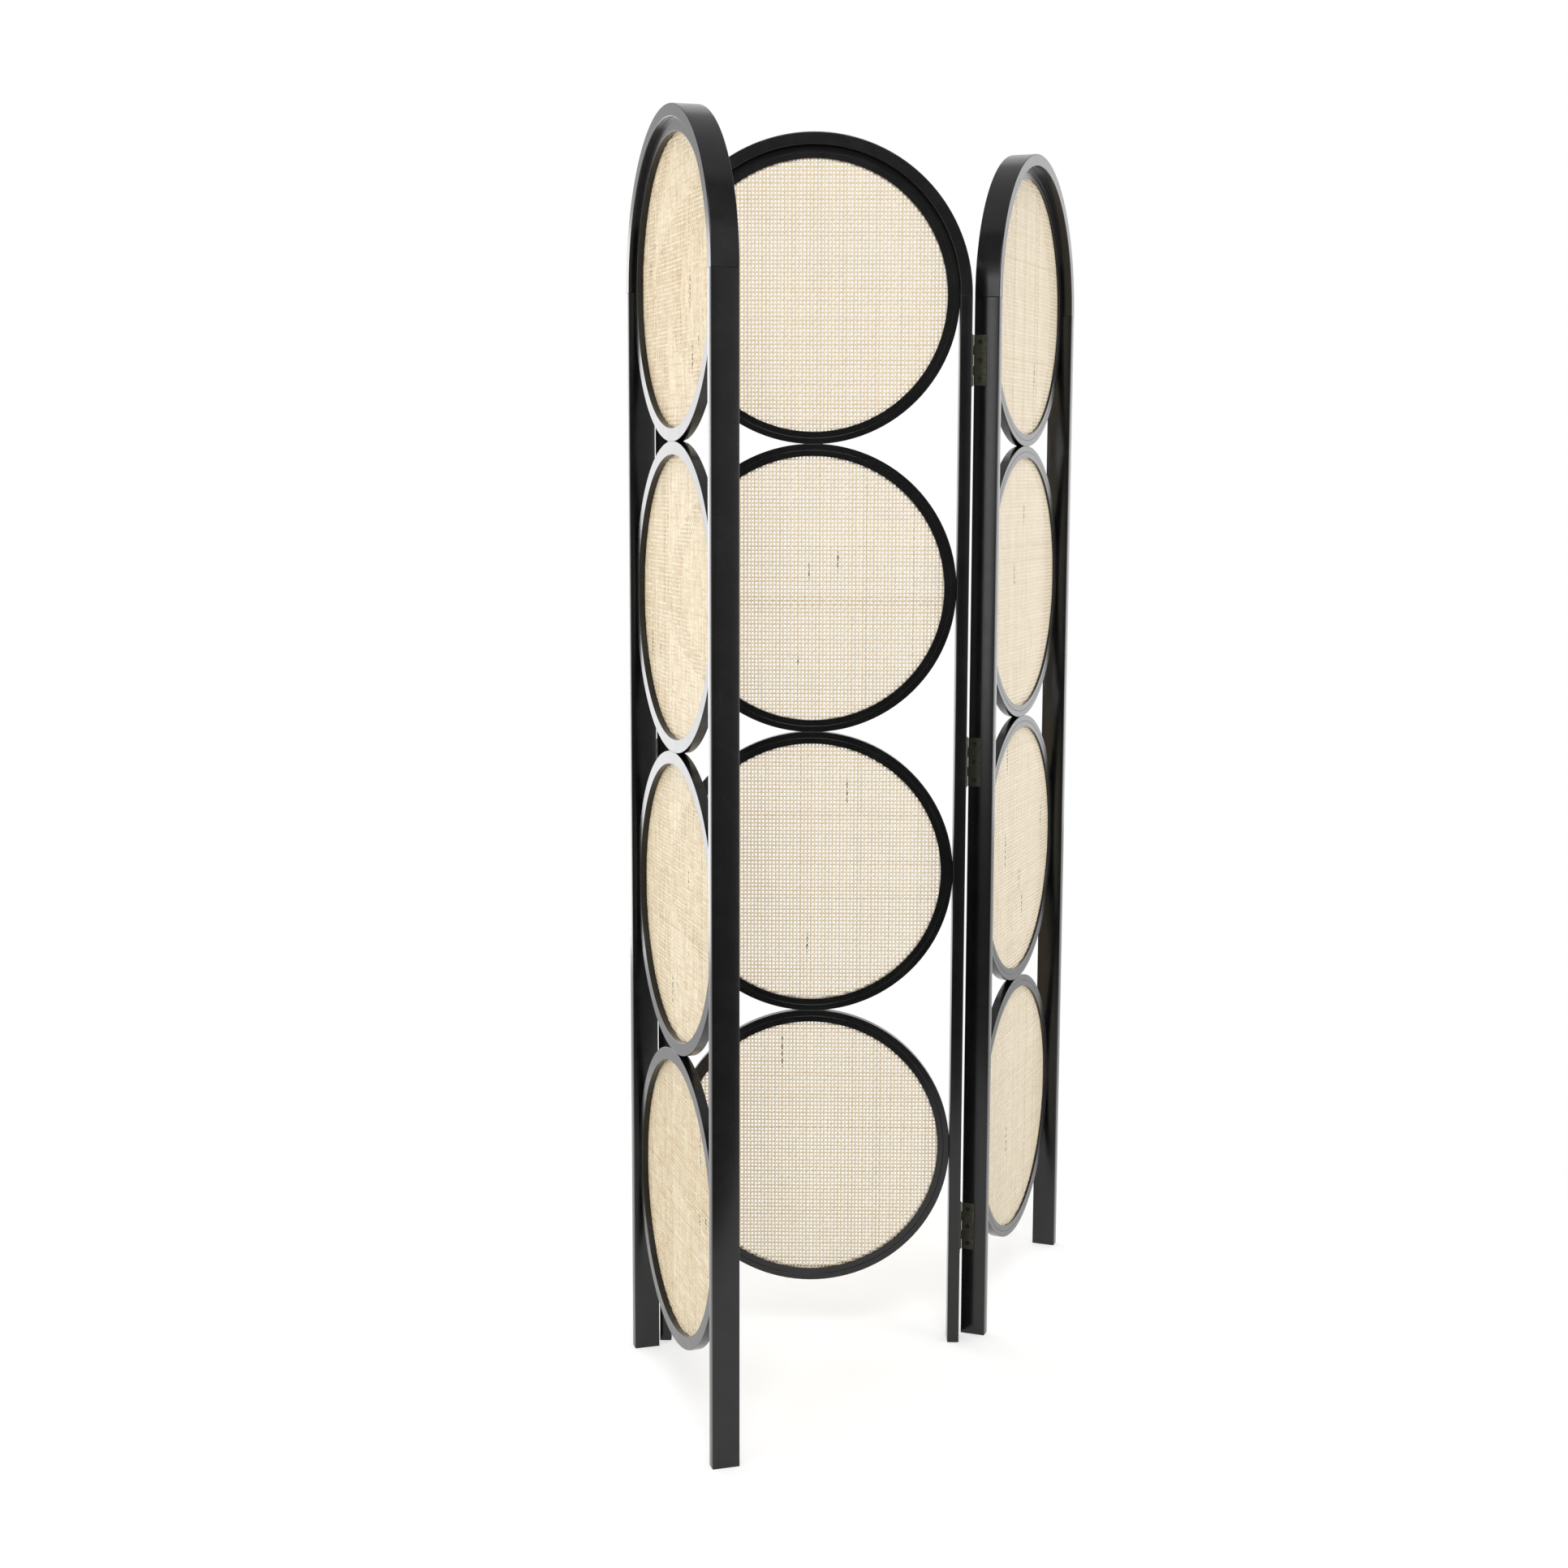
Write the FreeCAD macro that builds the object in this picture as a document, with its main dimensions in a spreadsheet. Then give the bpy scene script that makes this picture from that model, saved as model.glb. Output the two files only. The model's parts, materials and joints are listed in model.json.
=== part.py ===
# Three-panel folding screen: arched frames that hold stacks of cane-filled rings, joined by butt hinges
import FreeCAD, Part
import math
import os
import re
import Sketcher
from FreeCAD import Placement, Rotation, Vector

# Driving dimensions in millimetres and degrees
sizes = {
    # frame of a panel
    "stile_width": 17.5,  # across the face, between the rings and the slit
    "frame_depth": 37.5,  # front to back
    "edge_round": 1.0,  # softened long edges of stiles and arch
    "leg_length": 92.5,  # floor to the lowest ring
    # rings
    "ring_radius": 211.4,  # outside of the rim
    "rim_width": 18.0,  # face of the rim, bead included
    "ring_depth": 13.5,
    "ring_setback": 16.0,  # rim face behind the frame's front
    "seat_flat": 0.4,  # planed off the rim where it meets a stile or another rim
    "glue_gap": 0.15,  # between the top ring and the arch
    # cane and the bead that clamps it
    "cane_thickness": 1.2,
    "strand_share": 0.5,  # width of a strand as a share of the spacing
    "bead_width": 9.0,
    "bead_thickness": 3.5,
    "bead_gap": 0.1,  # round the bead and the cane in the rebate
    # dowels
    "rim_dowel_radius": 3.0,
    "rim_dowel_depth": 7.5,  # in each of the two pieces
    "arch_dowel_angle": 60.0,  # either side of the crown
    "corner_dowel_radius": 4.0,
    "corner_dowel_depth": 20.0,
    "dowel_fit": 0.05,
    "dowel_end_gap": 0.5,
    # hinges
    "panel_gap": 3.2,  # slit between two panels in line
    "leaf_length": 73.0,
    "leaf_width": 19.0,  # on the edge of the stile
    "leaf_thickness": 1.5,
    "barrel_radius": 3.2,
    "pin_offset": 3.5,  # pin axis beyond the face of the frame
    "pin_radius": 1.6,
    "pin_play": 0.05,
    "pin_head_radius": 2.3,
    "pin_head_height": 1.2,
    "knuckle_gap": 0.3,
    "lower_hinge_rise": 172.0,  # hinge centre above the floor
    "middle_hinge_rise": 105.05,  # above half the height of the stile
    "upper_hinge_drop": 89.9,  # below the top of the stile
    # wood screws
    "screw_spacing": 27.0,
    "screw_radius": 1.7,
    "screw_head_radius": 3.2,
    "screw_length": 14.0,
    "screw_point": 4.0,
    "screw_fit": 0.05,
    # how far each side panel is folded from flat
    "left_fold_angle": 108.0,
    "right_fold_angle": 70.0,
}

doc = FreeCAD.newDocument("folding_screen")
sheet = doc.addObject("Spreadsheet::Sheet", "sizes")
for row, (alias, number) in enumerate(sizes.items(), start=1):
    sheet.set("A%d" % row, alias)
    sheet.set("B%d" % row, str(number))
    sheet.setAlias("B%d" % row, alias)
doc.recompute()

rings_per_panel = 4
openings_across = 12  # the real weave is about six times as fine
knuckles_per_hinge = 5

# Lengths that several pieces share, written for the sheet
half_pitch = "(ring_radius - seat_flat)"
spring_height = "(leg_length + ring_radius + %d * (ring_radius - seat_flat))" % (2 * rings_per_panel - 2)
half_width = "(ring_radius - seat_flat + stile_width)"
bore_radius = "(ring_radius - rim_width)"
seat_radius = "(ring_radius - rim_width + bead_width)"
rebate_depth = "(bead_thickness + cane_thickness)"
rim_deep = "(ring_setback + ring_depth / 2 - frame_depth / 2)"
screw_inset = "(frame_depth / 2 - leaf_width / 2)"
hinge_heights = [
    "lower_hinge_rise",
    "(%s / 2 + middle_hinge_rise)" % spring_height,
    "(%s - upper_hinge_drop)" % spring_height,
]
screw_steps = [-1, 0, 1]


# Helpers that bind sketches and features to the sheet
def bound(text):
    def lookup(word):
        return "sizes." + word.group() if word.group() in sizes else word.group()

    return re.sub(r"[a-z_]+", lookup, text)


def new_sketch(body, name, role, lift="0"):
    sketch = body.newObject("Sketcher::SketchObject", name)
    support = [plane for plane in body.Origin.OriginFeatures if plane.Role == role]
    sketch.AttachmentSupport = [(support[0], "")]
    sketch.MapMode = "FlatFace"
    sketch.setExpression("AttachmentOffset.Base.z", bound(lift))
    return sketch


def pin_point(sketch, geometry, corner, across, along):
    for kind, text in (("DistanceX", across), ("DistanceY", along)):
        index = sketch.addConstraint(Sketcher.Constraint(kind, -1, 1, geometry, corner, 1.0))
        sketch.setExpression("Constraints[%d]" % index, bound(text))


def polygon(sketch, corners):
    first = sketch.GeometryCount
    count = len(corners)
    turns = [2 * math.pi * step / count for step in range(count)]
    rough = [Vector(math.cos(turn), math.sin(turn), 0) for turn in turns]
    for step in range(count):
        sketch.addGeometry(Part.LineSegment(rough[step], rough[(step + 1) % count]), False)
    for step in range(count):
        following = first + (step + 1) % count
        sketch.addConstraint(Sketcher.Constraint("Coincident", first + step, 2, following, 1))
    for step, (across, along) in enumerate(corners):
        pin_point(sketch, first + step, 1, across, along)


def rectangle(sketch, left, low, right, high):
    polygon(sketch, [(left, low), (right, low), (right, high), (left, high)])


def circle(sketch, across, along, radius):
    index = sketch.addGeometry(Part.Circle(Vector(0, 0, 0), Vector(0, 0, 1), 1.0), False)
    pin_point(sketch, index, 3, across, along)
    limit = sketch.addConstraint(Sketcher.Constraint("Radius", index, 1.0))
    sketch.setExpression("Constraints[%d]" % limit, bound(radius))


def pad(body, name, sketch, length, middle=False):
    feature = body.newObject("PartDesign::Pad", name)
    feature.Profile = sketch
    feature.setExpression("Length", bound(length))
    feature.Midplane = middle
    return feature


def pocket(body, name, sketch, depth, reverse=False, middle=False):
    feature = body.newObject("PartDesign::Pocket", name)
    feature.Profile = sketch
    feature.setExpression("Length", bound(depth))
    feature.Reversed = reverse
    feature.Midplane = middle
    return feature


def turned(body, name, sketch, degrees=360, reverse=False):
    feature = body.newObject("PartDesign::Revolution", name)
    feature.Profile = sketch
    feature.ReferenceAxis = (sketch, ["V_Axis"])
    feature.Angle = degrees
    feature.Reversed = reverse
    return feature


def aim(feature, direction, across, deep, high):
    feature.Placement = Placement(Vector(), Rotation(Vector(0, 0, 1), direction))
    for axis, text in (("x", across), ("y", deep), ("z", high)):
        feature.setExpression("Placement.Base." + axis, bound(text))


def bore(body, name, direction, place, radius, depth):
    feature = body.newObject("PartDesign::SubtractiveCylinder", name)
    feature.setExpression("Radius", bound(radius))
    feature.setExpression("Height", bound(depth))
    aim(feature, direction, *place)
    return feature


def countersink(body, name, direction, place):
    feature = body.newObject("PartDesign::SubtractiveCone", name)
    feature.setExpression("Radius1", bound("screw_radius"))
    feature.setExpression("Radius2", bound("screw_head_radius"))
    feature.setExpression("Height", bound("leaf_thickness"))
    aim(feature, direction, *place)
    return feature


def soften(body, name, base, chosen):
    doc.recompute()
    edges = ["Edge%d" % (n + 1) for n, edge in enumerate(base.Shape.Edges) if chosen(edge)]
    feature = body.newObject("PartDesign::Fillet", name)
    feature.Base = (base, edges)
    feature.setExpression("Radius", bound("edge_round"))
    return feature


def new_body(label):
    return doc.addObject("PartDesign::Body", label)


# Where things stand: a panel's own frame has x across, y back and z up from the floor between its feet
value = {alias: float(sheet.get(alias)) for alias in sizes}
panel_half = value["ring_radius"] - value["seat_flat"] + value["stile_width"]
depth_half = value["frame_depth"] / 2
pitch = 2 * (value["ring_radius"] - value["seat_flat"])
lowest_centre = value["leg_length"] + value["ring_radius"]
spring = lowest_centre + (rings_per_panel - 1) * pitch
ring_face = value["ring_setback"] - depth_half
rim_middle = ring_face + value["ring_depth"] / 2
hinge_centres = [
    value["lower_hinge_rise"],
    spring / 2 + value["middle_hinge_rise"],
    spring - value["upper_hinge_drop"],
]
reach = 2 * panel_half + value["panel_gap"]


def shifted(x=0.0, y=0.0, z=0.0, turn=0.0):
    return Placement(Vector(x, y, z), Rotation(Vector(0, 0, 1), turn))


def hinged(side, fold):
    pin = Vector(side * reach / 2, side * (depth_half + value["pin_offset"]), 0)
    folded = Placement(pin, Rotation(Vector(0, 0, 1), fold)) * Placement(-pin, Rotation())
    hinge_frame = shifted(pin.x, pin.y, 0, 0 if side > 0 else 180)
    return folded, hinge_frame


left_folded, left_hinge = hinged(-1, value["left_fold_angle"])
right_folded, right_hinge = hinged(1, value["right_fold_angle"])
in_line = {
    "left": left_folded * shifted(-reach),
    "middle": shifted(),
    "right": right_folded * shifted(reach),
}
corner = Vector(panel_half - value["edge_round"], depth_half - value["edge_round"], 0)
feet = [Vector(x * corner.x, y * corner.y, 0) for x in (-1, 1) for y in (-1, 1)]
plan = Part.makeCompound([Part.Vertex(spot.multVec(foot)) for spot in in_line.values() for foot in feet])
to_origin = shifted(-plan.BoundBox.Center.x, -plan.BoundBox.Center.y)
panels = {name: to_origin * spot for name, spot in in_line.items()}
nodes = []


def seat(piece, place):
    piece.Placement = place
    nodes.append(piece)


def ring_height(number):
    return lowest_centre + (rings_per_panel - number) * pitch


# Stiles: the inner face lies on the body's YZ plane, and the left one is turned about
def stile_holes(body, sign, hinge_side):
    seats = new_sketch(body, "rim_dowel_seats", "YZ_Plane")
    for number in range(rings_per_panel - 1):
        high = "leg_length + ring_radius + %d * %s" % (2 * number, half_pitch)
        circle(seats, "%d * %s" % (sign, rim_deep), high, "rim_dowel_radius")
    pocket(body, "rim_dowel_holes", seats, "rim_dowel_depth", reverse=True)
    top = new_sketch(body, "corner_dowel_seat", "XY_Plane", spring_height)
    circle(top, "stile_width / 2", "0", "corner_dowel_radius")
    pocket(body, "corner_dowel_hole", top, "corner_dowel_depth")
    if hinge_side:
        outer = new_sketch(body, "screw_seats", "YZ_Plane", "stile_width")
        for hinge in hinge_heights:
            for step in screw_steps:
                across = "%d * %s" % (sign * hinge_side, screw_inset)
                circle(outer, across, "%s + %d * screw_spacing" % (hinge, step), "screw_radius")
        pocket(body, "screw_holes", outer, "screw_length - leaf_thickness")


def make_stile(panel, side, hinge_side):
    sign = 1 if side == "right" else -1
    body = new_body("%s_panel_%s_stile" % (panel, side))
    section = new_sketch(body, "section", "XY_Plane")
    rectangle(section, "0", "-frame_depth / 2", "stile_width", "frame_depth / 2")
    post = pad(body, "post", section, spring_height)
    upright = lambda edge: abs(edge.tangentAt(edge.FirstParameter).z) > 0.99
    soften(body, "long_edges", post, upright)
    stile_holes(body, sign, hinge_side)
    inner = sign * (panel_half - value["stile_width"])
    seat(body, panels[panel] * shifted(inner, 0, 0, 0 if sign > 0 else 180))


# Arch: half a turn of the frame's section about the depth axis through the top ring's centre
def make_arch(panel):
    body = new_body("%s_panel_arch" % panel)
    section = new_sketch(body, "section", "XY_Plane")
    rectangle(section, "ring_radius + glue_gap", "-frame_depth / 2", half_width, "frame_depth / 2")
    bow = turned(body, "bow", section, 180, reverse=True)
    soften(body, "long_edges", bow, lambda edge: isinstance(edge.Curve, Part.Circle))
    corner = half_width + " - stile_width / 2"
    for name, sign in (("left", -1), ("right", 1)):
        place = ("%d * (%s)" % (sign, corner), "0", "0")
        bore(body, name + "_dowel_hole", Vector(0, 0, 1), place, "corner_dowel_radius", "corner_dowel_depth")
    for turn in (-1, 0, 1):
        angle = turn * value["arch_dowel_angle"]
        direction = Rotation(Vector(0, 1, 0), angle).multVec(Vector(0, 0, 1))
        lean = "%d * arch_dowel_angle * 1 deg" % turn
        place = ("ring_radius * sin(%s)" % lean, rim_deep, "ring_radius * cos(%s)" % lean)
        bore(body, "rim_dowel_hole", direction, place, "rim_dowel_radius", "rim_dowel_depth")
    seat(body, panels[panel] * shifted(0, 0, spring))


# Rings: a rebated rim turned about its own axis, planed flat where it meets its neighbours
def make_ring(panel, number):
    body = new_body("%s_panel_ring_%d" % (panel, number))
    section = new_sketch(body, "section", "XY_Plane")
    corners = [
        (bore_radius, rebate_depth),
        (seat_radius, rebate_depth),
        (seat_radius, "0"),
        ("ring_radius", "0"),
        ("ring_radius", "ring_depth"),
        (bore_radius, "ring_depth"),
    ]
    polygon(section, corners)
    turned(body, "rim", section)
    clear = "(ring_radius + rim_width)"
    top = clear if number == 1 else half_pitch
    bottom = clear if number == rings_per_panel else half_pitch
    planed = new_sketch(body, "planed_sides", "XZ_Plane")
    rectangle(planed, "-2 * " + clear, "-2 * " + clear, "2 * " + clear, "2 * " + clear)
    rectangle(planed, "-" + half_pitch, "-" + bottom, half_pitch, top)
    pocket(body, "flats", planed, "4 * ring_depth", middle=True)
    spots = {"top": (0, 1), "bottom": (0, -1), "left": (-1, 0), "right": (1, 0)}
    if number == 1:
        del spots["left"], spots["right"], spots["top"]
        for turn in (-1, 0, 1):
            angle = turn * value["arch_dowel_angle"]
            outward = Rotation(Vector(0, 1, 0), angle).multVec(Vector(0, 0, 1))
            lean = "%d * arch_dowel_angle * 1 deg" % turn
            from_axis = "(ring_radius - rim_dowel_depth)"
            place = ("%s * sin(%s)" % (from_axis, lean), "ring_depth / 2", "%s * cos(%s)" % (from_axis, lean))
            bore(body, "arch_dowel_hole", outward, place, "rim_dowel_radius", "2 * rim_dowel_depth")
    if number == rings_per_panel:
        del spots["bottom"]
    for name, (across, up) in spots.items():
        start = "(%s - rim_dowel_depth)" % half_pitch
        place = ("%d * %s" % (across, start), "ring_depth / 2", "%d * %s" % (up, start))
        bore(body, name + "_dowel_hole", Vector(across, 0, up), place, "rim_dowel_radius", "2 * rim_dowel_depth")
    seat(body, panels[panel] * shifted(0, ring_face, ring_height(number)))


# Cane web: a border that the bead clamps, upright strands in front of level ones, and openings between them
def make_web():
    body = new_body("cane_web_pattern")
    rim = seat_radius + " - bead_gap"
    border = new_sketch(body, "border_outline", "XZ_Plane", "-" + rebate_depth)
    circle(border, "0", "0", rim)
    circle(border, "0", "0", bore_radius)
    pad(body, "border", border, "cane_thickness")
    half_spacing = "(%s / %d)" % (bore_radius, openings_across)
    low = "(%d - strand_share) * %s" % (2 - openings_across, half_spacing)
    high = "(%d + strand_share) * %s" % (2 - openings_across, half_spacing)
    ends = ("-" + seat_radius, seat_radius)
    for name, axis in (("upright_strand", "H_Axis"), ("level_strand", "V_Axis")):
        if axis == "H_Axis":
            outline = new_sketch(body, name + "_outline", "XZ_Plane", "-(bead_thickness + cane_thickness / 2)")
            rectangle(outline, low, ends[0], high, ends[1])
        else:
            outline = new_sketch(body, name + "_outline", "XZ_Plane", "-" + rebate_depth)
            rectangle(outline, ends[0], low, ends[1], high)
        strand = pad(body, name, outline, "cane_thickness / 2")
        row = body.newObject("PartDesign::LinearPattern", name + "_row")
        row.Originals = [strand]
        row.Direction = (outline, [axis])
        row.Occurrences = openings_across - 1
        row.setExpression("Length", bound("%d * %s" % (2 * openings_across - 4, half_spacing)))
        body.Tip = row
    outside = new_sketch(body, "outside", "XZ_Plane", "-" + rebate_depth)
    rectangle(outside, "-2 * " + seat_radius, "-2 * " + seat_radius, "2 * " + seat_radius, "2 * " + seat_radius)
    circle(outside, "0", "0", rim)
    pocket(body, "trimmed_edge", outside, "4 * cane_thickness", middle=True)
    return body


def make_cane(panel, number):
    place = panels[panel] * shifted(0, ring_face, ring_height(number))
    group_of("%s_panel_cane_%d" % (panel, number), web_pattern, [Placement()], place)


def make_bead(panel, number):
    body = new_body("%s_panel_bead_%d" % (panel, number))
    section = new_sketch(body, "section", "XY_Plane")
    rectangle(section, bore_radius, "0", seat_radius + " - bead_gap", "bead_thickness")
    turned(body, "hoop", section)
    seat(body, panels[panel] * shifted(0, ring_face, ring_height(number)))


# Dowels of one panel: corner dowels, rim to stile, rim to rim and rim to arch
def dowel(name, radius, depth, place, direction):
    piece = doc.addObject("Part::Cylinder", name)
    piece.setExpression("Radius", bound(radius + " - dowel_fit"))
    piece.setExpression("Height", bound("2 * (%s - dowel_end_gap)" % depth))
    half = value[depth] - value["dowel_end_gap"]
    piece.Placement = Placement(place - direction * half, Rotation(Vector(0, 0, 1), direction))
    return piece


def make_dowels(panel):
    inner = panel_half - value["stile_width"]
    pieces = []
    for side in (-1, 1):
        corner = Vector(side * (panel_half - value["stile_width"] / 2), 0, spring)
        pieces.append(dowel("corner_dowel", "corner_dowel_radius", "corner_dowel_depth", corner, Vector(0, 0, 1)))
        for number in range(2, rings_per_panel + 1):
            flank = Vector(side * inner, rim_middle, ring_height(number))
            pieces.append(dowel("rim_dowel", "rim_dowel_radius", "rim_dowel_depth", flank, Vector(1, 0, 0)))
    for number in range(1, rings_per_panel):
        neck = Vector(0, rim_middle, ring_height(number) - pitch / 2)
        pieces.append(dowel("rim_dowel", "rim_dowel_radius", "rim_dowel_depth", neck, Vector(0, 0, 1)))
    for turn in (-1, 0, 1):
        outward = Rotation(Vector(0, 1, 0), turn * value["arch_dowel_angle"]).multVec(Vector(0, 0, 1))
        crown = Vector(0, rim_middle, spring) + outward * value["ring_radius"]
        pieces.append(dowel("rim_dowel", "rim_dowel_radius", "rim_dowel_depth", crown, outward))
    group = doc.addObject("Part::Compound", "%s_panel_dowels" % panel)
    group.Links = pieces
    seat(group, panels[panel])


# Hinge leaf about its pin: side -1 is screwed to the middle panel, side 1 to the side panel
def make_leaf(name, side, own_knuckles):
    body = new_body(name)
    flank = "%d * panel_gap / 2" % side
    face = "%d * (panel_gap / 2 - leaf_thickness)" % side
    plate = new_sketch(body, "plate_section", "XY_Plane")
    rectangle(plate, flank, "-(pin_offset + leaf_width)", face, "0")
    pad(body, "plate", plate, "leaf_length", middle=True)
    barrel = new_sketch(body, "barrel_section", "XY_Plane")
    circle(barrel, "0", "0", "barrel_radius")
    pad(body, "barrel", barrel, "leaf_length", middle=True)
    eye = new_sketch(body, "eye", "XY_Plane")
    circle(eye, "0", "0", "pin_radius + pin_play")
    pocket(body, "pin_hole", eye, "2 * leaf_length", middle=True)
    notches = new_sketch(body, "notch_outlines", "YZ_Plane")
    reach_out = "(barrel_radius + knuckle_gap)"
    for number in range(knuckles_per_hinge):
        if number in own_knuckles:
            continue
        low = "leaf_length * (%d / %d - 0.5) - knuckle_gap / 2" % (number, knuckles_per_hinge)
        high = "leaf_length * (%d / %d - 0.5) + knuckle_gap / 2" % (number + 1, knuckles_per_hinge)
        rectangle(notches, "-" + reach_out, low, reach_out, high)
    pocket(body, "notches", notches, "4 * " + reach_out, middle=True)
    for step in screw_steps:
        place = (flank, "-(pin_offset + leaf_width / 2)", "%d * screw_spacing" % step)
        countersink(body, "screw_hole", Vector(-side, 0, 0), place)
    return body


def make_pin():
    body = new_body("hinge_pin_pattern")
    section = new_sketch(body, "section", "XZ_Plane")
    end = "leaf_length / 2"
    tip = "(leaf_length / 2 + pin_head_height)"
    corners = [
        ("0", "-" + tip),
        ("pin_head_radius", "-" + tip),
        ("pin_head_radius", "-" + end),
        ("pin_radius", "-" + end),
        ("pin_radius", end),
        ("pin_head_radius", end),
        ("pin_head_radius", tip),
        ("0", tip),
    ]
    polygon(section, corners)
    turned(body, "pin", section)
    return body


def make_screw():
    body = new_body("wood_screw_pattern")
    section = new_sketch(body, "section", "XZ_Plane")
    shank = "screw_radius - screw_fit"
    corners = [
        ("0", "0"),
        ("screw_head_radius - 2 * screw_fit", "0"),
        (shank, "-leaf_thickness"),
        (shank, "-(screw_length - screw_point)"),
        ("0", "-(screw_length - screw_fit)"),
    ]
    polygon(section, corners)
    turned(body, "screw", section)
    return body


def group_of(name, pattern, places, frame):
    copies = []
    for place in places:
        copy = doc.addObject("App::Link", name + "_copy")
        copy.LinkedObject = pattern
        copy.LinkPlacement = place
        copies.append(copy)
    group = doc.addObject("Part::Compound", name)
    group.Links = copies
    seat(group, frame)


# The screws of three leaves: each points from the leaf's face into the stile
def screw_places(side):
    head = side * (value["panel_gap"] / 2 - value["leaf_thickness"] + value["screw_fit"])
    deep = -(value["pin_offset"] + value["leaf_width"] / 2)
    into = Rotation(Vector(0, 0, -1), Vector(side, 0, 0))
    heights = [centre + step * value["screw_spacing"] for centre in hinge_centres for step in screw_steps]
    return [Placement(Vector(head, deep, height), into) for height in heights]


def make_hinges(joint, folded, hinge_frame):
    heights = [shifted(0, 0, centre) for centre in hinge_centres]
    fixed = to_origin * hinge_frame
    moving = to_origin * folded * hinge_frame
    group_of(joint + "_hinge_middle_leaves", middle_leaf, heights, fixed)
    group_of(joint + "_hinge_side_leaves", side_leaf, heights, moving)
    group_of(joint + "_hinge_pins", pin_pattern, heights, fixed)
    group_of(joint + "_hinge_middle_screws", screw_pattern, screw_places(-1), fixed)
    group_of(joint + "_hinge_side_screws", screw_pattern, screw_places(1), moving)


# Hinge side of a stile: 1 has its pins at the back, -1 at the front, 0 is a free end
stile_hinges = {
    ("left", "left"): 0,
    ("left", "right"): -1,
    ("middle", "left"): -1,
    ("middle", "right"): 1,
    ("right", "left"): 1,
    ("right", "right"): 0,
}

web_pattern = make_web()
for panel in panels:
    make_arch(panel)
    for side in ("left", "right"):
        make_stile(panel, side, stile_hinges[panel, side])
    for number in range(1, rings_per_panel + 1):
        make_ring(panel, number)
        make_cane(panel, number)
        make_bead(panel, number)
    make_dowels(panel)

middle_leaf = make_leaf("middle_leaf_pattern", -1, (0, 2, 4))
side_leaf = make_leaf("side_leaf_pattern", 1, (1, 3))
pin_pattern = make_pin()
screw_pattern = make_screw()
make_hinges("left", left_folded, left_hinge)
make_hinges("right", right_folded, right_hinge)
doc.recompute()

# Nothing is written unless every object came out whole
for item in doc.Objects:
    if "Invalid" in item.State or "Error" in item.State:
        raise RuntimeError("%s failed: %s" % (item.Label, item.State))
for node in nodes:
    if node.Shape.isNull() or not node.Shape.isValid():
        raise RuntimeError("%s has no valid shape" % node.Label)

os.makedirs("parts", exist_ok=True)
for node in nodes:
    node.Shape.exportStep(os.path.join("parts", node.Label + ".step"))
    box = node.Shape.BoundBox
    print(node.Label, len(node.Shape.Solids), round(node.Shape.Volume, 1), [round(v, 2) for v in box.Center])
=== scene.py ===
import bmesh
import bpy
import json
import math
import random
from mathutils import Matrix, Vector


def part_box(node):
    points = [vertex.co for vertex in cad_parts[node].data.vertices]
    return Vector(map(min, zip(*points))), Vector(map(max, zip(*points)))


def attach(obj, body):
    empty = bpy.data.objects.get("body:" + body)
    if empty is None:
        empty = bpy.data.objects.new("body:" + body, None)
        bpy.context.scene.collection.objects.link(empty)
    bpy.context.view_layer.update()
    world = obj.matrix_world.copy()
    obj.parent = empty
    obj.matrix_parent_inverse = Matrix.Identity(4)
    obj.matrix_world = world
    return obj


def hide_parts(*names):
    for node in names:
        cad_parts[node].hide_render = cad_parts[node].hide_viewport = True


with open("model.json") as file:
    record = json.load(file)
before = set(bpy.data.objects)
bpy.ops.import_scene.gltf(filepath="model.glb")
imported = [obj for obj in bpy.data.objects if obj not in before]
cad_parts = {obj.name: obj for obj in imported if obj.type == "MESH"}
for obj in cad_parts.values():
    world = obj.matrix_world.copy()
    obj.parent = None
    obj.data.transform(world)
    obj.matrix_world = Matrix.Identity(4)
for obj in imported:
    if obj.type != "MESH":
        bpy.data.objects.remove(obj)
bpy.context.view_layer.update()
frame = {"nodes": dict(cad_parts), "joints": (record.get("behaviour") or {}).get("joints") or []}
print("frame loaded")

# Sizes read from the frame, in metres. A panel's own frame has x across, y back and z up from the floor
archLow, archHigh = [Vector(corner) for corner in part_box("middle_panel_arch")]
stileLow, stileHigh = [Vector(corner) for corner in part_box("middle_panel_left_stile")]
ringLow, ringHigh = [Vector(corner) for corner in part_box("middle_panel_ring_4")]
beadLow, beadHigh = [Vector(corner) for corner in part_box("middle_panel_bead_4")]
caneLow, caneHigh = [Vector(corner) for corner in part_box("middle_panel_cane_4")]
panelCentre = (archLow + archHigh) / 2
halfDepth = (archHigh.y - archLow.y) / 2
halfWidth = (archHigh.x - archLow.x) / 2
springHeight = archLow.z
stileWidth = stileHigh.x - stileLow.x
halfPitch = (ringHigh.x - ringLow.x) / 2  # half of a ring across its planed sides
ringRadius = ringHigh.z - ringLow.z - halfPitch  # the lowest ring is planed only at its top
ringFace = ringLow.y - panelCentre.y
ringDepth = ringHigh.y - ringLow.y
ringCount = 4  # numbered from the top down
ringCentres = {number: springHeight - 2 * halfPitch * (number - 1) for number in range(1, ringCount + 1)}


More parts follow.
